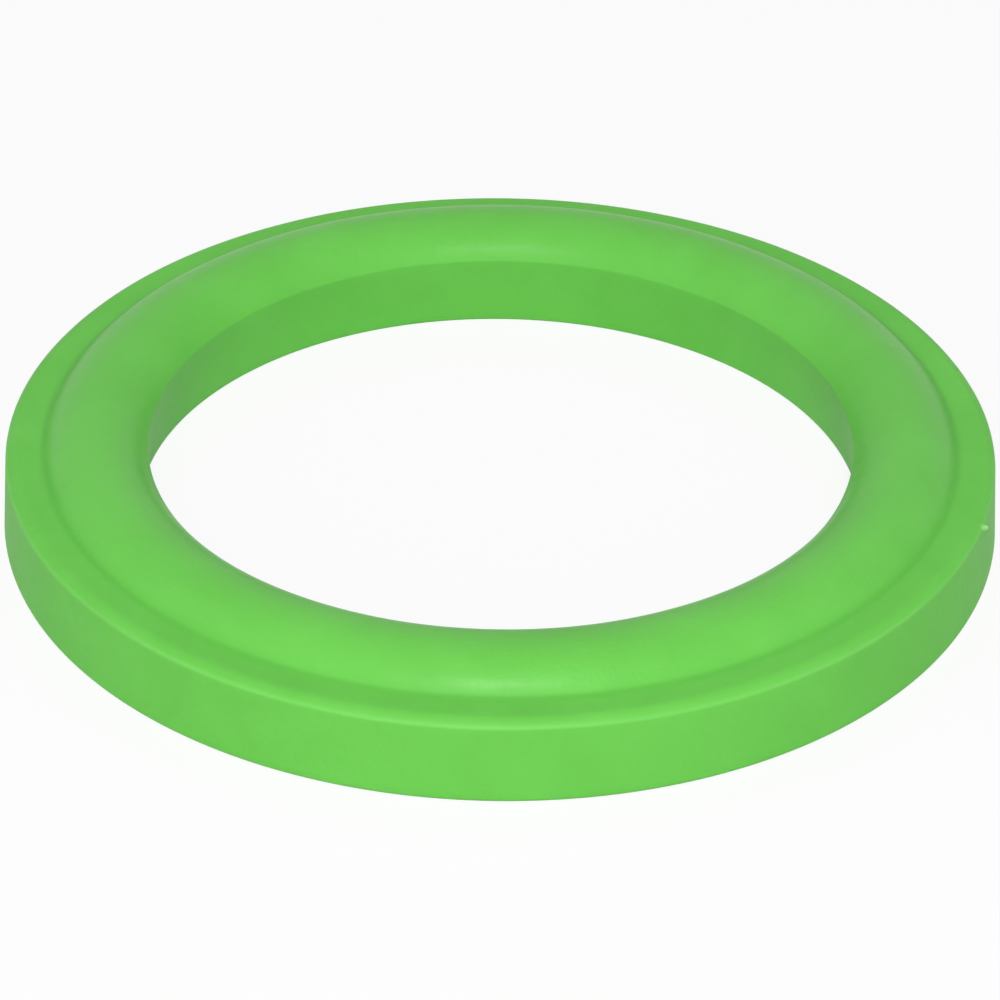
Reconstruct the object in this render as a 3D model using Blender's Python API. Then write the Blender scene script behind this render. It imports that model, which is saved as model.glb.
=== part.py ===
"""Trap seal ring for a 40 mm waste pipe: one soft ring, moulded in one piece.

The ring is a single turned section. It has a flat underside, a slightly drafted outer wall with a
rounded lip, a crease just inside the lip, a round bead that does the sealing, and a bore that opens
out towards the underside. The origin is at the middle of the flat underside, +Z up.
Units are metres.
"""

import math

import bmesh
import bpy
from mathutils import Vector

# Outside of the ring; the wall spreads a little towards its foot
LIP_DIAMETER = 0.0563
LIP_HEIGHT = 0.00485
LIP_EDGE_RADIUS = 0.00085
WALL_SPREAD = 0.00020
BASE_EDGE_RADIUS = 0.00025

# The lip slopes inwards, down to the crease beside the bead
LIP_SLOPE = math.radians(4.0)
CREASE_DEPTH = 0.00010
CREASE_RADIUS = 0.00055

# Bore, whose top edge lies a little lower than the lip
BORE_DIAMETER = 0.0400
BORE_EDGE_DROP = 0.00025
BORE_EDGE_RADIUS = 0.00025
BORE_SPREAD = 0.00070

# Slope of the sealing bead's arc at its two ends, against the line that joins them
BEAD_END_SLOPE = math.radians(62.0)

# Facets: around the axis, and over each rounded stretch of the section
SEGMENTS = 96
BEAD_STEPS = 16
LIP_EDGE_STEPS = 7
SMALL_EDGE_STEPS = 3
CREASE_STEPS = 3

SHARP_ANGLE = math.radians(30)
RUBBER_GREEN = (0.147, 0.604, 0.089, 1.0)
RUBBER_ROUGHNESS = 0.5


def clear_scene():
    """Takes every object out of the scene."""
    for thing in list(bpy.data.objects):
        bpy.data.objects.remove(thing)


def green_rubber():
    """The soft satin green of the whole ring."""
    material = bpy.data.materials.new("green_rubber")
    material.use_nodes = True
    shader = material.node_tree.nodes["Principled BSDF"]
    shader.inputs["Base Color"].default_value = RUBBER_GREEN
    shader.inputs["Roughness"].default_value = RUBBER_ROUGHNESS
    shader.inputs["Metallic"].default_value = 0.0
    return material


def arc_points(centre, start, end, steps):
    """Points on the shorter arc about centre from start to end, both included."""
    spoke = start - centre
    turn = spoke.angle_signed(end - centre)
    return [centre + Vector((spoke.x * math.cos(a) + spoke.y * math.sin(a),
                             spoke.y * math.cos(a) - spoke.x * math.sin(a)))
            for a in (turn * k / steps for k in range(steps + 1))]


def rounded_corner(corner, before, after, radius, steps):
    """Arc that rounds the corner between the straight lines from before and to after."""
    back = (before - corner).normalized()
    onward = (after - corner).normalized()
    half = back.angle(onward) / 2
    tangent = radius / math.tan(half)
    centre = corner + (back + onward).normalized() * radius / math.sin(half)
    return arc_points(centre, corner + back * tangent, corner + onward * tangent, steps)


def touch_point(foot, centre, radius):
    """Where a straight line that rises from foot touches the circle's outer side."""
    way = centre - foot
    turn = math.asin(radius / way.length)
    heading = Vector((way.x * math.cos(turn) + way.y * math.sin(turn),
                      way.y * math.cos(turn) - way.x * math.sin(turn))).normalized()
    return foot + heading * math.sqrt(way.length_squared - radius ** 2)


def blend_centre(on_line, along, circle, reach):
    """Where the line through on_line is the distance reach from circle, on the side along points to."""
    offset = on_line - circle
    middle = offset.dot(along)
    return on_line + along * (-middle + math.sqrt(middle ** 2 - offset.length_squared + reach ** 2))


def bead_circle(inner_end, outer_end):
    """Centre and radius of the bead's arc, which rises from the line between its ends at BEAD_END_SLOPE."""
    chord = outer_end - inner_end
    radius = chord.length / 2 / math.sin(BEAD_END_SLOPE)
    down = Vector((chord.y, -chord.x)).normalized()
    return (inner_end + outer_end) / 2 + down * radius * math.cos(BEAD_END_SLOPE), radius


def ring_section():
    """The whole section as (radius, height) points, from the bore's foot outwards and back over the top."""
    bore_foot = Vector((BORE_DIAMETER / 2 + BORE_SPREAD, 0.0))
    bore_edge = Vector((BORE_DIAMETER / 2, LIP_HEIGHT - BORE_EDGE_DROP))
    wall_foot = Vector((LIP_DIAMETER / 2 + WALL_SPREAD, 0.0))

    # The lip is one arc. The outer wall runs into it, and it slopes down from it into the crease.
    lip_centre = Vector((LIP_DIAMETER / 2 - LIP_EDGE_RADIUS, LIP_HEIGHT - LIP_EDGE_RADIUS))
    wall_top = touch_point(wall_foot, lip_centre, LIP_EDGE_RADIUS)
    lip_slope = Vector((math.cos(LIP_SLOPE), math.sin(LIP_SLOPE)))
    lip_up = Vector((-lip_slope.y, lip_slope.x))
    lip_top = lip_centre + lip_up * LIP_EDGE_RADIUS
    crease = lip_top - lip_slope * (lip_top.y - LIP_HEIGHT + CREASE_DEPTH) / lip_slope.y
    circle, radius = bead_circle(bore_edge, crease)

    # The crease's arc lies in the air, touching the lip's slope and the outside of the bead.
    crease_centre = blend_centre(crease + lip_up * CREASE_RADIUS, lip_slope, circle, radius + CREASE_RADIUS)
    lip_touch = crease_centre - lip_up * CREASE_RADIUS
    bead_start = circle + (crease_centre - circle).normalized() * radius

    # The bore edge's arc lies in the rubber, touching the bore wall and the inside of the bead.
    bore_slope = (bore_edge - bore_foot).normalized()
    into_rubber = Vector((bore_slope.y, -bore_slope.x))
    edge_centre = blend_centre(bore_foot + into_rubber * BORE_EDGE_RADIUS, bore_slope,
                               circle, radius - BORE_EDGE_RADIUS)
    bore_touch = edge_centre - into_rubber * BORE_EDGE_RADIUS
    bead_end = circle + (edge_centre - circle).normalized() * radius

    section = rounded_corner(bore_foot, bore_edge, wall_foot, BASE_EDGE_RADIUS, SMALL_EDGE_STEPS)
    section += rounded_corner(wall_foot, bore_foot, wall_top, BASE_EDGE_RADIUS, SMALL_EDGE_STEPS)
    section += arc_points(lip_centre, wall_top, lip_top, LIP_EDGE_STEPS)
    section += arc_points(crease_centre, lip_touch, bead_start, CREASE_STEPS)
    section += arc_points(circle, bead_start, bead_end, BEAD_STEPS)[1:]
    section += arc_points(edge_centre, bead_end, bore_touch, SMALL_EDGE_STEPS)[1:]
    return section


def turned(name, section, material):
    """Turns a closed section of (radius, height) points about +Z into one smooth solid."""
    shape = bmesh.new()
    corners = [shape.verts.new((point.x, 0.0, point.y)) for point in section]
    sides = [shape.edges.new((a, b)) for a, b in zip(corners, corners[1:] + corners[:1])]
    bmesh.ops.spin(shape, geom=corners + sides, cent=(0, 0, 0), axis=(0, 0, 1),
                   angle=math.tau, steps=SEGMENTS, use_merge=True)
    bmesh.ops.recalc_face_normals(shape, faces=shape.faces)
    mesh = bpy.data.meshes.new(name)
    shape.to_mesh(mesh)
    shape.free()
    mesh.shade_smooth()
    mesh.set_sharp_from_angle(angle=SHARP_ANGLE)
    mesh.materials.append(material)
    thing = bpy.data.objects.new(name, mesh)
    bpy.context.scene.collection.objects.link(thing)
    return thing


def main():
    clear_scene()
    turned("seal_ring", ring_section(), green_rubber())


main()
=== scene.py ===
"""Looks of a trap seal ring: one soft green ring on a plain white table, in soft studio light.

The ring is a single turned section carried once around the Z axis. Its surface is worked out as arrays
on a grid of angle around the axis by place along the section. Units are metres, +Z up, and the origin is
at the middle of the flat underside.
"""

import logging
import math
from dataclasses import dataclass, field
from enum import Enum

import bpy
import numpy as np
from mathutils import Matrix, Vector

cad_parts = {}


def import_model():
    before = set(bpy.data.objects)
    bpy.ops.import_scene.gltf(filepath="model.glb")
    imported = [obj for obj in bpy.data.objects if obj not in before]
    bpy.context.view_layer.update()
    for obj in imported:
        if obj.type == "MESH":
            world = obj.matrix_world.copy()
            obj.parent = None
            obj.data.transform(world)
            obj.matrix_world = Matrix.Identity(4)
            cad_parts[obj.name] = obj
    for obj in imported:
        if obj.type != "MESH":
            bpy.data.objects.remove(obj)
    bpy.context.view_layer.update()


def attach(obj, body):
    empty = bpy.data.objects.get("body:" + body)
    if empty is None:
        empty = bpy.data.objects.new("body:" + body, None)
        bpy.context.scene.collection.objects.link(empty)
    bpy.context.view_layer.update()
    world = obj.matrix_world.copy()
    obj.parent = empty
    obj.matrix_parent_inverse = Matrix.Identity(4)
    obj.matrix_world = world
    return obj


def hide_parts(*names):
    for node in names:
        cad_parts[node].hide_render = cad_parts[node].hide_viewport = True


LOG = logging.getLogger("trap_seal_ring")

BODY = "root"
RING_NODE = "seal_ring"
# Mask attributes of the ring: the gate mark's and the seam's masks paint a pale highlight into the colour,
# and the crease's mask paints shade into it.
GATE_HIGHLIGHT_MASK = "gate_mark_painted_highlight"
SEAM_HIGHLIGHT_MASK = "edge_seam_painted_highlight"
CREASE_SHADE_MASK = "crease_painted_shade"
MILLIMETRE = 0.001

FINE_GRAIN_RATIO = 3.0
FINE_GRAIN_SHARE = 0.15
SPECKLE_RANGE = (0.35, 0.65)
MOTTLE_RANGE = (0.3, 0.7)
MOTTLE_DETAIL = 3.0
MOTTLE_DISTORTION = 0.6
PAPER_ROUGHNESS = 0.9
NEAREST_SEEN = 0.01
NODE_SPACING = 200

COLOUR_A, COLOUR_B, COLOUR_RESULT = 6, 7, 2

Colour = tuple[float, float, float, float]


class ViewerRay(Enum):
    """Kinds of ray that carry what is seen straight or mirrored, by their light path output."""

    CAMERA = "Is Camera Ray"
    GLOSSY = "Is Glossy Ray"
    TRANSMISSION = "Is Transmission Ray"


def straight(start: np.ndarray, end: np.ndarray, count: int) -> np.ndarray:
    """Points on a straight line, evenly spaced, without its last point.

    Args:
        start: First point, as (radius, height).
        end: Point where the line stops.
        count: How many points the line gets.

    Returns:
        An array of count points.
    """
    share = np.arange(count)[:, None] / count
    return start + (end - start) * share


def arc(centre: np.ndarray, start: np.ndarray, end: np.ndarray, count: int) -> np.ndarray:
    """Points on the shorter arc about a centre, evenly spaced, without its last point.

    A point is the centre plus the first spoke turned by an even share of the angle between the two spokes.

    Args:
        centre: Centre of the arc, as (radius, height).
        start: First point of the arc.
        end: Point where the arc stops.
        count: How many points the arc gets.

    Returns:
        An array of count points.
    """
    first, last = start - centre, end - centre
    whole = math.atan2(first[0] * last[1] - first[1] * last[0], float(first @ last))
    turn = whole * np.arange(count) / count
    across = np.array([-first[1], first[0]])
    return centre + np.cos(turn)[:, None] * first + np.sin(turn)[:, None] * across


def unit(vector: np.ndarray) -> np.ndarray:
    """The vector at length one."""
    return vector / np.linalg.norm(vector)


def fillet(corner: np.ndarray, before: np.ndarray, after: np.ndarray, radius: float) -> tuple:
    """Arc that rounds the corner between two straight lines.

    Args:
        corner: Where the lines meet.
        before: A point on the line that arrives.
        after: A point on the line that leaves.
        radius: Radius of the arc.

    Returns:
        The arc's centre, its first point and its last point.
    """
    back, onward = unit(before - corner), unit(after - corner)
    half = math.acos(float(back @ onward)) / 2
    tangent = radius / math.tan(half)
    centre = corner + unit(back + onward) * radius / math.sin(half)
    return centre, corner + back * tangent, corner + onward * tangent


def touch_point(foot: np.ndarray, centre: np.ndarray, radius: float) -> np.ndarray:
    """Where a straight line that rises from a foot touches the outer side of a circle.

    The line leaves the direction to the centre by the angle whose sine is radius over distance.

    Args:
        foot: The point that the line comes from.
        centre: Centre of the circle.
        radius: Radius of the circle.

    Returns:
        The point on the circle.
    """
    way = centre - foot
    distance = float(np.linalg.norm(way))
    turn = math.asin(radius / distance)
    across = np.array([way[1], -way[0]])
    heading = (math.cos(turn) * way + math.sin(turn) * across) / distance
    return foot + heading * math.sqrt(distance ** 2 - radius ** 2)


def reach_along(on_line: np.ndarray, along: np.ndarray, circle: np.ndarray, reach: float) -> np.ndarray:
    """Where a line is at a given distance from a circle's centre, on the side that it points to.

    The distance along the line solves the quadratic |offset + along * t| = reach.

    Args:
        on_line: A point on the line.
        along: The line's direction, at length one.
        circle: The circle's centre.
        reach: The wanted distance from that centre.

    Returns:
        The point on the line.
    """
    offset = on_line - circle
    middle = float(offset @ along)
    return on_line + along * (math.sqrt(middle ** 2 - float(offset @ offset) + reach ** 2) - middle)


@dataclass(frozen=True)
class RingSection:
    """The ring's section: flat underside, drafted wall, crowned lip, crease, bead and bore."""

    lip_radius: float = 28.05 * MILLIMETRE
    lip_height: float = 4.85 * MILLIMETRE
    lip_crown: float = 0.85 * MILLIMETRE
    lip_corner: float = 0.28 * MILLIMETRE
    lip_turn: float = math.radians(52.0)
    wall_spread: float = 0.30 * MILLIMETRE
    base_edge: float = 0.25 * MILLIMETRE
    lip_slope: float = math.radians(3.0)
    crease_depth: float = 0.077 * MILLIMETRE
    crease_round: float = 0.55 * MILLIMETRE
    bore_radius: float = 20.0 * MILLIMETRE
    bore_edge_drop: float = 0.25 * MILLIMETRE
    bore_edge: float = 0.25 * MILLIMETRE
    bore_spread: float = 0.70 * MILLIMETRE
    bead_end_slope: float = math.radians(62.0)
    flat_points: int = 6
    wall_points: int = 18
    bore_points: int = 9
    small_points: int = 6
    crease_points: int = 11
    corner_points: int = 9
    crown_points: int = 15
    bead_points: int = 38

    def bead_circle(self, inner: np.ndarray, outer: np.ndarray) -> tuple[np.ndarray, float]:
        """The bead's arc, which leaves the line between its two ends at bead_end_slope.

        Args:
            inner: The arc's end at the bore, as (radius, height).
            outer: The arc's end at the crease.

        Returns:
            The centre and the radius of the arc.
        """
        chord = outer - inner
        radius = float(np.linalg.norm(chord)) / 2 / math.sin(self.bead_end_slope)
        down = unit(np.array([chord[1], -chord[0]]))
        return (inner + outer) / 2 + down * radius * math.cos(self.bead_end_slope), radius

    def lip_arcs(self) -> tuple[np.ndarray, np.ndarray, np.ndarray]:
        """The lip's two arcs, which touch where the surface has turned by lip_turn from level.

        Returns:
            The corner's centre, the crown's centre and the point where they touch.
        """
        outward = np.array([math.sin(self.lip_turn), math.cos(self.lip_turn)])
        gap = self.lip_crown - self.lip_corner
        crown_height = self.lip_height - self.lip_crown
        corner = np.array([self.lip_radius - self.lip_corner, crown_height + gap * outward[1]])
        return corner, corner - gap * outward, corner + self.lip_corner * outward

    def crease_arc(self) -> tuple[np.ndarray, np.ndarray, np.ndarray, np.ndarray, np.ndarray, float]:
        """The crease's arc, which lies in the air and touches the lip's slope and the bead.

        Returns:
            The lip's highest point, the arc's centre, its first and last point, and the bead's circle.
        """
        bore_edge = np.array([self.bore_radius, self.lip_height - self.bore_edge_drop])
        slope = np.array([math.cos(self.lip_slope), math.sin(self.lip_slope)])
        upright = np.array([-slope[1], slope[0]])
        lip_top = self.lip_arcs()[1] + upright * self.lip_crown
        fall = lip_top[1] - self.lip_height + self.crease_depth
        corner = lip_top - slope * fall / slope[1]
        circle, radius = self.bead_circle(bore_edge, corner)
        centre = reach_along(corner + upright * self.crease_round, slope, circle,
                             radius + self.crease_round)
        return (lip_top, centre, centre - upright * self.crease_round,
                circle + unit(centre - circle) * radius, circle, radius)

    def crease_middle(self) -> np.ndarray:
        """The middle of the crease's arc, as (radius, height)."""
        _, centre, first, last, _, _ = self.crease_arc()
        return centre + unit(first + last - 2 * centre) * self.crease_round

    def points(self) -> np.ndarray:
        """The closed section, from the bore's foot outwards and back over the top.

        Returns:
            An array of (radius, height) points, with no point twice.
        """
        bore_foot = np.array([self.bore_radius + self.bore_spread, 0.0])
        bore_edge = np.array([self.bore_radius, self.lip_height - self.bore_edge_drop])
        wall_foot = np.array([self.lip_radius + self.wall_spread, 0.0])

        corner_centre, crown_centre, lip_bend = self.lip_arcs()
        wall_top = touch_point(wall_foot, corner_centre, self.lip_corner)
        lip_top, crease_centre, lip_touch, bead_start, circle, radius = self.crease_arc()

        bore_slope = unit(bore_edge - bore_foot)
        into_rubber = np.array([bore_slope[1], -bore_slope[0]])
        edge_centre = reach_along(bore_foot + into_rubber * self.bore_edge, bore_slope, circle,
                                  radius - self.bore_edge)
        bore_touch = edge_centre - into_rubber * self.bore_edge
        bead_end = circle + unit(edge_centre - circle) * radius

        inner_foot = fillet(bore_foot, bore_edge, wall_foot, self.base_edge)
        outer_foot = fillet(wall_foot, bore_foot, wall_top, self.base_edge)
        return np.concatenate([
            arc(*inner_foot, self.small_points),
            straight(inner_foot[2], outer_foot[1], self.flat_points),
            arc(*outer_foot, self.small_points),
            straight(outer_foot[2], wall_top, self.wall_points),
            arc(corner_centre, wall_top, lip_bend, self.corner_points),
            arc(crown_centre, lip_bend, lip_top, self.crown_points),
            straight(lip_top, lip_touch, self.small_points),
            arc(crease_centre, lip_touch, bead_start, self.crease_points),
            arc(circle, bead_start, bead_end, self.bead_points),
            arc(edge_centre, bead_end, bore_touch, self.small_points),
            straight(bore_touch, inner_foot[1], self.bore_points),
        ])


def section_normals(points: np.ndarray) -> np.ndarray:
    """Outward unit normals of a closed section that runs anticlockwise.

    A normal is the tangent, taken from the point before to the point after, turned a quarter to the right.

    Args:
        points: The section's (radius, height) points.

    Returns:
        An array of the same shape.
    """
    tangent = np.roll(points, -1, axis=0) - np.roll(points, 1, axis=0)
    tangent /= np.linalg.norm(tangent, axis=1, keepdims=True)
    return np.stack([tangent[:, 1], -tangent[:, 0]], axis=1)


@dataclass(frozen=True)
class GateMark:
    """The small nib that the mould's gate left on the lip's edge, whose mask also paints a pale highlight
    on it.
    """

    angle: float = math.radians(-18.3)
    height: float = 4.45 * MILLIMETRE
    length: float = 0.15 * MILLIMETRE
    width: float = 0.14 * MILLIMETRE
    rise: float = 0.32 * MILLIMETRE

    def strength(self, angles: np.ndarray, points: np.ndarray, wall_radius: float) -> np.ndarray:
        """How strongly the nib shows over the grid, from 0 to 1.

        The strength is a bell in the distance around the wall times a bell in the height.

        Args:
            angles: Angles around the axis, one for each column of the grid.
            points: The section's (radius, height) points, one for each row.
            wall_radius: Radius of the outer wall, which turns an angle into a length.

        Returns:
            An array of angles by points.
        """
        around = np.exp(-(((angles - self.angle) * wall_radius) / self.length) ** 2)
        on_wall = points[:, 0] > wall_radius - 2 * self.length
        upright = np.exp(-((points[:, 1] - self.height) / self.width) ** 2) * on_wall
        return around[:, None] * upright[None, :]


@dataclass(frozen=True)
class SectionBand:
    """A narrow band that runs around the ring at one place of its section."""

    width: float
    rise: float = 0.0

    def strength(self, points: np.ndarray, middle: np.ndarray) -> np.ndarray:
        """How strongly the band shows at each point of the section, from 0 to 1.

        The strength is a bell in the distance from the band's middle.

        Args:
            points: The section's (radius, height) points.
            middle: The band's middle, as (radius, height).

        Returns:
            One number for each point.
        """
        return np.exp(-(np.linalg.norm(points - middle, axis=1) / self.width) ** 2)


@dataclass(frozen=True)
class Unevenness:
    """Slow unevenness of soft moulded rubber: a few waves around the ring that drift over its section."""

    depth: float = 0.012 * MILLIMETRE
    waves: tuple[int, ...] = (3, 5, 8, 13)
    drift: tuple[float, ...] = (1.0, -2.0, 1.0, 3.0)
    starts: tuple[float, ...] = (0.4, 2.1, 3.9, 5.2)

    def height(self, angles: np.ndarray, count: int) -> np.ndarray:
        """Height of the waves over the grid.

        Each wave is a cosine of its number times the angle, plus its drift along the section.

        Args:
            angles: Angles around the axis.
            count: Number of points along the section.

        Returns:
            An array of angles by count, in metres.
        """
        along = math.tau * np.arange(count) / count
        total = np.zeros((len(angles), count))
        for wave, drift, start in zip(self.waves, self.drift, self.starts):
            total += np.cos(wave * angles[:, None] + drift * along[None, :] + start)
        return total * self.depth / len(self.waves)


@dataclass(frozen=True)
class RubberRing:
    """The whole ring: its section carried around the axis, the mould's seam and nib, and its unevenness,
    with masks that paint a highlight on the seam and the nib and shade in the crease.
    """

    section: RingSection = field(default_factory=RingSection)
    # A swell of 0.006 mm along the lip's edge; its mask paints a pale highlight there.
    seam_and_highlight: SectionBand = SectionBand(0.13 * MILLIMETRE, 0.006 * MILLIMETRE)
    # Its mask paints shade into the colour along the crease.
    crease: SectionBand = SectionBand(0.22 * MILLIMETRE)
    gate: GateMark = field(default_factory=GateMark)
    unevenness: Unevenness = field(default_factory=Unevenness)
    turns: int = 720
    crowding: float = 5.0
    crowded: float = math.radians(4.0)

    def angles(self) -> np.ndarray:
        """Angles around the axis, closer together beside the gate mark.

        They stand at equal shares of the running sum of a weight, which is one everywhere plus a bell at
        the gate mark.

        Returns:
            An array of turns angles over one full turn.
        """
        fine = np.linspace(-math.pi, math.pi, 20 * self.turns + 1)
        weight = 1 + self.crowding * np.exp(-((fine - self.gate.angle) / self.crowded) ** 2)
        running = np.concatenate([[0.0], np.cumsum((weight[1:] + weight[:-1]) / 2)])
        return np.interp(np.arange(self.turns) / self.turns * running[-1], running, fine)

    def surface(self) -> tuple[np.ndarray, dict[str, np.ndarray]]:
        """The ring's surface on its grid, and the masks of its marks, which paint highlight and shade into
        the colour.

        A point lies at its section point moved out along the section's normal by the unevenness, the seam
        and the nib, and turned about Z by its angle.

        Returns:
            An array of angles by section points by XYZ, and for each mask's name an array of angles by
            section points.
        """
        angles = self.angles()
        points = self.section.points()
        normals = section_normals(points)
        gate = self.gate.strength(angles, points, self.section.lip_radius)
        # The seam band's strength raises the seam and paints a highlight; the crease band's strength paints
        # shade.
        seam_and_highlight = self.seam_and_highlight.strength(points, self.section.lip_arcs()[2])
        crease = self.crease.strength(points, self.section.crease_middle())
        resting = np.clip(points[:, 1] / self.section.base_edge, 0.0, 1.0)
        swell = self.unevenness.height(angles, len(points)) * resting
        swell += gate * self.gate.rise + seam_and_highlight * self.seam_and_highlight.rise
        radius = points[None, :, 0] + normals[None, :, 0] * swell
        height = points[None, :, 1] + normals[None, :, 1] * swell
        east, north = np.cos(angles)[:, None], np.sin(angles)[:, None]
        grid = np.stack([radius * east, radius * north, height], axis=-1)
        # Masks for the painted highlight on the nib and along the seam, and for the painted shade in the
        # crease.
        masks = {GATE_HIGHLIGHT_MASK: gate, SEAM_HIGHLIGHT_MASK: np.broadcast_to(seam_and_highlight, gate.shape),
                 CREASE_SHADE_MASK: np.broadcast_to(crease, gate.shape)}
        return grid, masks

    def build(self) -> bpy.types.Object:
        """Makes the ring's object, closed both ways round."""
        grid, masks = self.surface()
        ring = mesh_object("moulded_ring", grid)
        for name, mask in masks.items():
            attribute = ring.data.attributes.new(name, "FLOAT", "POINT")
            attribute.data.foreach_set("value", mask.ravel().astype(np.float32))
        return ring


def mesh_object(name: str, grid: np.ndarray) -> bpy.types.Object:
    """Makes a smooth object of a surface whose grid closes on itself in both directions.

    Face (i, j) joins the points (i, j), (i + 1, j), (i + 1, j + 1) and (i, j + 1), each counted round.

    Args:
        name: The object's name.
        grid: Points of the surface, rows by columns by XYZ.

    Returns:
        The object, linked to the scene.
    """
    rows, columns = grid.shape[:2]
    number = np.arange(rows * columns).reshape(rows, columns)
    beside = np.roll(number, -1, axis=0)
    faces = np.stack([number, beside, np.roll(beside, -1, axis=1), np.roll(number, -1, axis=1)], axis=-1)
    faces = faces.reshape(-1, 4)
    mesh = bpy.data.meshes.new(name)
    mesh.vertices.add(rows * columns)
    mesh.vertices.foreach_set("co", grid.astype(np.float32).ravel())
    mesh.loops.add(faces.size)
    mesh.loops.foreach_set("vertex_index", faces.astype(np.int32).ravel())
    mesh.polygons.add(len(faces))
    mesh.polygons.foreach_set("loop_start", np.arange(0, faces.size, 4, dtype=np.int32))
    mesh.update(calc_edges=True)
    mesh.validate()
    mesh.shade_smooth()
    thing = bpy.data.objects.new(name, mesh)
    bpy.context.scene.collection.objects.link(thing)
    return thing


class Sketch:
    """Adds nodes to a node tree and joins them, left to right."""

    def __init__(self, tree: bpy.types.NodeTree) -> None:
        """Starts on a tree that may hold nodes already."""
        self.tree = tree

    def add(self, kind: str, settings: dict | None = None, **inputs: object) -> bpy.types.Node:
        """Adds a node.

        Args:
            kind: The node's type name.
            settings: Properties of the node itself.
            **inputs: Values or sockets for its inputs, named with _ for a space.

        Returns:
            The new node.
        """
        node = self.tree.nodes.new(kind)
        node.location.x = NODE_SPACING * len(self.tree.nodes)
        for name, value in (settings or {}).items():
            setattr(node, name, value)
        for name, value in inputs.items():
            self.feed(node.inputs[name.replace("_", " ")], value)
        return node

    def feed(self, socket: bpy.types.NodeSocket, value: object) -> None:
        """Links a socket to another, or sets its value."""
        if isinstance(value, bpy.types.NodeSocket):
            self.tree.links.new(value, socket)
        else:
            socket.default_value = value

    def maths(self, operation: str, first: object, second: object) -> bpy.types.NodeSocket:
        """The result of a sum on two numbers."""
        node = self.add("ShaderNodeMath", {"operation": operation})
        self.feed(node.inputs[0], first)
        self.feed(node.inputs[1], second)
        return node.outputs[0]

    def blend(self, factor: object, first: object, second: object) -> bpy.types.NodeSocket:
        """The mix of two colours."""
        node = self.add("ShaderNodeMix", {"data_type": "RGBA"})
        self.feed(node.inputs["Factor"], factor)
        self.feed(node.inputs[COLOUR_A], first)
        self.feed(node.inputs[COLOUR_B], second)
        return node.outputs[COLOUR_RESULT]


def new_group(name: str, inputs: dict[str, str], outputs: dict[str, str]) -> tuple:
    """Starts a shader node group with named sockets.

    Args:
        name: The group's name.
        inputs: Socket type for each input's name.
        outputs: Socket type for each output's name.

    Returns:
        The group, a sketch on it, its input node and its output node.
    """
    group = bpy.data.node_groups.new(name, "ShaderNodeTree")
    for socket, kind in inputs.items():
        group.interface.new_socket(socket, in_out="INPUT", socket_type=kind)
    for socket, kind in outputs.items():
        group.interface.new_socket(socket, in_out="OUTPUT", socket_type=kind)
    sketch = Sketch(group)
    return group, sketch, sketch.add("NodeGroupInput"), sketch.add("NodeGroupOutput")


def mould_grain() -> bpy.types.NodeTree:
    """Fine grain of the moulded surface, as a height and a speckle mask.

    The height is a noise at the grain's size plus a fainter one at a third of that size.
    """
    group, sketch, given, result = new_group(
        "mould_grain",
        {"Vector": "NodeSocketVector", "Grains per Metre": "NodeSocketFloat"},
        {"Height": "NodeSocketFloat", "Speckle": "NodeSocketFloat"},
    )
    scale = given.outputs["Grains per Metre"]
    coarse = sketch.add("ShaderNodeTexNoise", Vector=given.outputs["Vector"], Scale=scale, Detail=1.0)
    fine = sketch.add("ShaderNodeTexNoise", Vector=given.outputs["Vector"],
                      Scale=sketch.maths("MULTIPLY", scale, FINE_GRAIN_RATIO), Detail=1.0)
    faint = sketch.maths("MULTIPLY", fine.outputs["Fac"], FINE_GRAIN_SHARE)
    sketch.feed(result.inputs["Height"], sketch.maths("ADD", coarse.outputs["Fac"], faint))
    speckle = sketch.add("ShaderNodeMapRange", Value=coarse.outputs["Fac"])
    speckle.inputs["From Min"].default_value, speckle.inputs["From Max"].default_value = SPECKLE_RANGE
    sketch.feed(result.inputs["Speckle"], speckle.outputs["Result"])
    return group


def flow_mottle() -> bpy.types.NodeTree:
    """Soft patches where the rubber flowed, as a factor from 0 to 1."""
    group, sketch, given, result = new_group(
        "flow_mottle",
        {"Vector": "NodeSocketVector", "Patches per Metre": "NodeSocketFloat"},
        {"Factor": "NodeSocketFloat"},
    )
    noise = sketch.add("ShaderNodeTexNoise", Vector=given.outputs["Vector"],
                       Scale=given.outputs["Patches per Metre"], Detail=MOTTLE_DETAIL,
                       Distortion=MOTTLE_DISTORTION)
    spread = sketch.add("ShaderNodeMapRange", Value=noise.outputs["Fac"])
    spread.inputs["From Min"].default_value, spread.inputs["From Max"].default_value = MOTTLE_RANGE
    sketch.feed(result.inputs["Factor"], spread.outputs["Result"])
    return group


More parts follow.
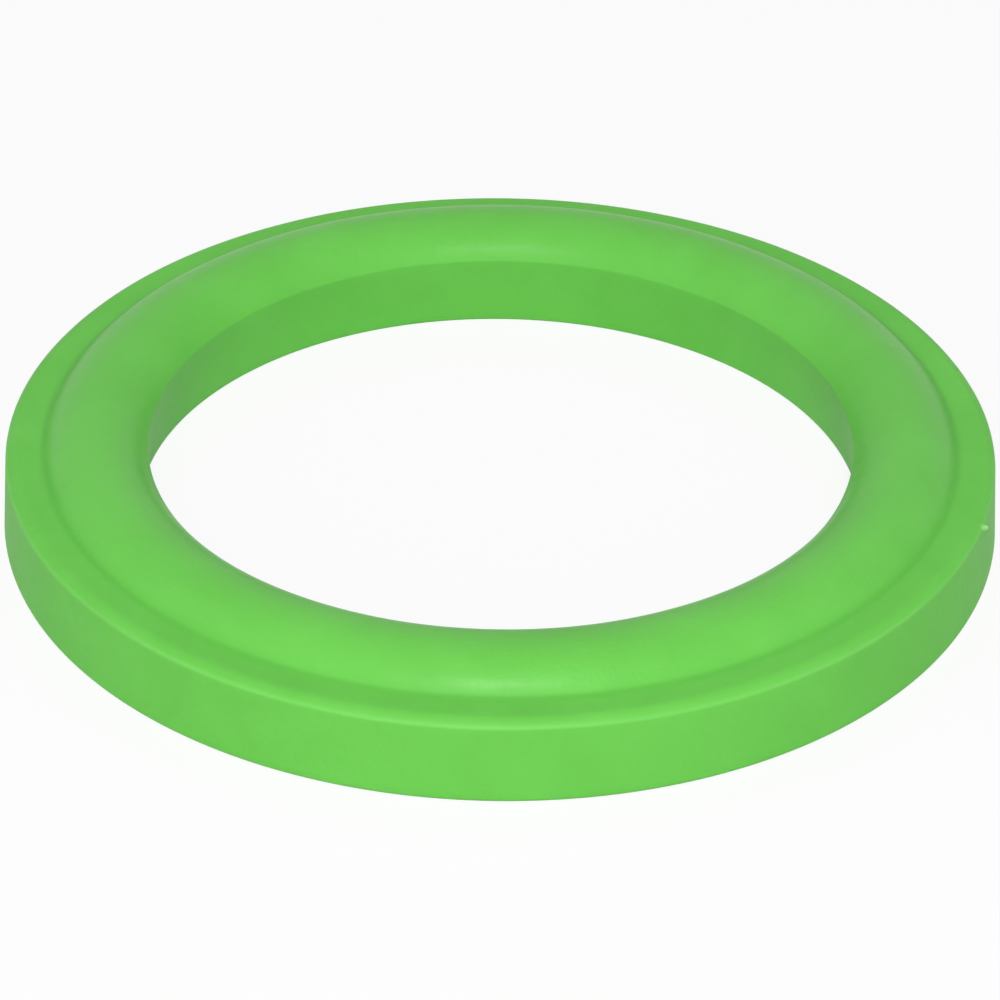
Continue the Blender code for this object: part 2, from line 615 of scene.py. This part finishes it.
@dataclass(frozen=True)
class GreenRubber:
    """Soft satin green rubber with a fine grain.

    It is smoother on the bead. It has a pale highlight painted along the lip's edge over the mould seam and
    on the gate nib, and shade painted as a deeper green in the crease.
    """

    green: Colour = (0.168, 0.626, 0.093, 1.0)
    deep_green: Colour = (0.151, 0.581, 0.081, 1.0)
    # Pale tint painted on the nib as a highlight.
    gate_painted_highlight: Colour = (0.38, 0.74, 0.30, 1.0)
    # Pale tint painted along the lip's edge as a highlight.
    seam_painted_highlight: Colour = (0.188, 0.638, 0.113, 1.0)
    # Deeper green painted in the crease as shade.
    crease_painted_shade_green: Colour = (0.131, 0.535, 0.071, 1.0)
    roughness: float = 0.50
    bead_smoothing: float = 0.15
    roughness_spread: float = 0.05
    gloss: float = 0.18
    softness: float = 0.35
    soft_reach: float = 1.0 * MILLIMETRE
    soft_spread: tuple[float, float, float] = (0.4, 1.0, 0.25)
    grain_size: float = 0.42 * MILLIMETRE
    grain_depth: float = 0.020 * MILLIMETRE
    patch_size: float = 6.0 * MILLIMETRE
    satin_height: float = 4.95 * MILLIMETRE
    smooth_height: float = 5.35 * MILLIMETRE

    def build(self) -> bpy.types.Material:
        """Makes the material, on Object coordinates and the masks of the marks."""
        material = bpy.data.materials.new("green_rubber")
        material.use_nodes = True
        sketch = Sketch(material.node_tree)
        shader = material.node_tree.nodes["Principled BSDF"]
        shader.inputs["Specular IOR Level"].default_value = self.gloss
        shader.inputs["Subsurface Weight"].default_value = self.softness
        shader.inputs["Subsurface Scale"].default_value = self.soft_reach
        shader.inputs["Subsurface Radius"].default_value = self.soft_spread
        place = sketch.add("ShaderNodeTexCoord").outputs["Object"]

        grain = sketch.add("ShaderNodeGroup", {"node_tree": mould_grain()})
        sketch.feed(grain.inputs["Vector"], place)
        grain.inputs["Grains per Metre"].default_value = 1 / self.grain_size
        mottle = sketch.add("ShaderNodeGroup", {"node_tree": flow_mottle()})
        sketch.feed(mottle.inputs["Vector"], place)
        mottle.inputs["Patches per Metre"].default_value = 1 / self.patch_size

        colour = sketch.blend(mottle.outputs["Factor"], self.green, self.deep_green)
        # The crease mask paints shade into the colour; the seam and gate masks paint a pale highlight.
        for mask, tint in ((CREASE_SHADE_MASK, self.crease_painted_shade_green), (SEAM_HIGHLIGHT_MASK, self.seam_painted_highlight),
                           (GATE_HIGHLIGHT_MASK, self.gate_painted_highlight)):
            node = sketch.add("ShaderNodeAttribute", {"attribute_name": mask, "attribute_type": "GEOMETRY"})
            colour = sketch.blend(node.outputs["Fac"], colour, tint)
        sketch.feed(shader.inputs["Base Color"], colour)
        spread = sketch.maths("MULTIPLY", grain.outputs["Speckle"], self.roughness_spread)
        height = sketch.add("ShaderNodeSeparateXYZ", Vector=place).outputs["Z"]
        satin = sketch.add("ShaderNodeMapRange", Value=height)
        satin.inputs["From Min"].default_value = self.satin_height
        satin.inputs["From Max"].default_value = self.smooth_height
        satin.inputs["To Min"].default_value = self.roughness
        satin.inputs["To Max"].default_value = self.roughness - self.bead_smoothing
        sketch.feed(shader.inputs["Roughness"], sketch.maths("ADD", spread, satin.outputs["Result"]))
        bump = sketch.add("ShaderNodeBump", Height=grain.outputs["Height"])
        bump.inputs["Strength"].default_value = 1.0
        bump.inputs["Distance"].default_value = self.grain_depth
        sketch.feed(shader.inputs["Normal"], bump.outputs["Normal"])
        return material


@dataclass(frozen=True)
class Lamp:
    """A soft oblong lamp that faces the ring."""

    name: str
    azimuth: float
    elevation: float
    distance: float
    width: float
    height: float
    power: float

    def build(self) -> bpy.types.Object:
        """Places the lamp. Azimuth 0 is the camera's side, and it grows towards +X."""
        light = bpy.data.lights.new(self.name, "AREA")
        light.shape = "RECTANGLE"
        light.size = self.width
        light.size_y = self.height
        light.energy = self.power
        turn, lift = math.radians(self.azimuth), math.radians(self.elevation)
        away = Vector((math.sin(turn) * math.cos(lift), -math.cos(turn) * math.cos(lift), math.sin(lift)))
        lamp = bpy.data.objects.new(self.name, light)
        lamp.matrix_world = (Matrix.Translation(away * self.distance)
                             @ away.to_track_quat("Z", "Y").to_matrix().to_4x4())
        bpy.context.scene.collection.objects.link(lamp)
        return lamp


@dataclass(frozen=True)
class Studio:
    """White table, white surroundings and soft lamps."""

    lamps: tuple[Lamp, ...] = (
        Lamp("flash", 1.5, 48.5, 0.60, 0.05, 0.05, 1.48),
        Lamp("front_softbox", -3.0, 30.0, 0.30, 0.15, 0.15, 0.31),
        Lamp("left_softbox", -75.0, 35.0, 0.30, 0.20, 0.20, 0.112),
        Lamp("right_softbox", 75.0, 35.0, 0.30, 0.20, 0.20, 0.094),
        Lamp("back_softbox", 180.0, 60.0, 0.30, 0.20, 0.20, 0.05),
    )
    ambient: float = 0.16
    table_size: float = 3.0
    table_white: Colour = (0.6, 0.6, 0.6, 1.0)
    seen_white: Colour = (0.95, 0.95, 0.95, 1.0)
    lit_share: float = 0.12

    def build(self) -> None:
        """Makes the table, the surroundings and the lamps."""
        self.build_table()
        self.build_world()
        for lamp in self.lamps:
            lamp.build()

    def build_table(self) -> None:
        """A wide flat table just under the ring."""
        reach = self.table_size / 2
        mesh = bpy.data.meshes.new("table")
        mesh.from_pydata([(-reach, -reach, 0), (reach, -reach, 0), (reach, reach, 0), (-reach, reach, 0)],
                         [], [(0, 1, 2, 3)])
        mesh.materials.append(self.table_material())
        table = bpy.data.objects.new("table", mesh)
        bpy.context.scene.collection.objects.link(table)

    def table_material(self) -> bpy.types.Material:
        """White paper that the camera, gloss and glass see near full white, with the ring's shadow."""
        material = bpy.data.materials.new("table_white")
        material.use_nodes = True
        sketch = Sketch(material.node_tree)
        shader = material.node_tree.nodes["Principled BSDF"]
        shader.inputs["Roughness"].default_value = PAPER_ROUGHNESS
        glow = sketch.add("ShaderNodeEmission", Strength=1.0)
        seen = bright_to_viewer(sketch)
        sketch.feed(shader.inputs["Base Color"], sketch.blend(seen, self.table_white, self.seen_white))
        share = sketch.maths("MULTIPLY", seen, 1 - self.lit_share)
        mix = sketch.add("ShaderNodeMixShader", Fac=share)
        sketch.feed(mix.inputs[1], shader.outputs[0])
        sketch.feed(mix.inputs[2], glow.outputs[0])
        sketch.feed(material.node_tree.nodes["Material Output"].inputs["Surface"], mix.outputs[0])
        return material

    def build_world(self) -> None:
        """Surroundings that are white to the camera and dimmer as a light."""
        world = bpy.data.worlds.new("surroundings")
        bpy.context.scene.world = world
        world.use_nodes = True
        sketch = Sketch(world.node_tree)
        background = world.node_tree.nodes["Background"]
        seen = bright_to_viewer(sketch)
        spread = sketch.add("ShaderNodeMapRange", Value=seen)
        spread.inputs["To Min"].default_value = self.ambient
        spread.inputs["To Max"].default_value = 1.0
        sketch.feed(background.inputs["Strength"], spread.outputs["Result"])
        background.inputs["Color"].default_value = (1.0, 1.0, 1.0, 1.0)


def bright_to_viewer(sketch: Sketch) -> bpy.types.NodeSocket:
    """A number that is 1 for camera, glossy and transmitted rays, and 0 for the rest."""
    path = sketch.add("ShaderNodeLightPath").outputs
    seen = path[ViewerRay.CAMERA.value]
    for ray in (ViewerRay.GLOSSY, ViewerRay.TRANSMISSION):
        seen = sketch.maths("MAXIMUM", seen, path[ray.value])
    return seen


@dataclass(frozen=True)
class Viewpoint:
    """The camera: a long lens that looks down on the ring from the front."""

    elevation: float = math.radians(33.08)
    roll: float = math.radians(0.70)
    distance: float = 225.6 * MILLIMETRE
    aim_height: float = 0.18 * MILLIMETRE
    focal_share: float = 3.920
    sensor: float = 36.0

    def build(self) -> None:
        """Makes the camera and hands it to the scene."""
        data = bpy.data.cameras.new("camera")
        data.sensor_width = self.sensor
        data.lens = self.focal_share * self.sensor
        data.clip_start = NEAREST_SEEN
        camera = bpy.data.objects.new("camera", data)
        bpy.context.scene.collection.objects.link(camera)
        back = Vector((0.0, -math.cos(self.elevation), math.sin(self.elevation)))
        level = Vector((1.0, 0.0, 0.0))
        upright = back.cross(level)
        right = level * math.cos(self.roll) + upright * math.sin(self.roll)
        up = back.cross(right)
        facing = Matrix((right, up, back)).transposed().to_4x4()
        place = Vector((0.0, 0.0, self.aim_height)) + back * self.distance
        camera.matrix_world = Matrix.Translation(place) @ facing
        bpy.context.scene.camera = camera


def main() -> None:
    """Loads the frame, dresses the ring, and sets the table, the lamps and the camera."""
    logging.basicConfig(level=logging.INFO, format="%(name)s: %(message)s")
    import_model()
    bpy.context.scene.view_settings.view_transform = "Standard"

    Viewpoint().build()
    Studio().build()

    ring = RubberRing().build()
    ring.data.materials.append(GreenRubber().build())
    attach(ring, BODY)
    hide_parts(RING_NODE)
    LOG.info("%s: %d faces", ring.name, len(ring.data.polygons))


if __name__ == "__main__":
    main()
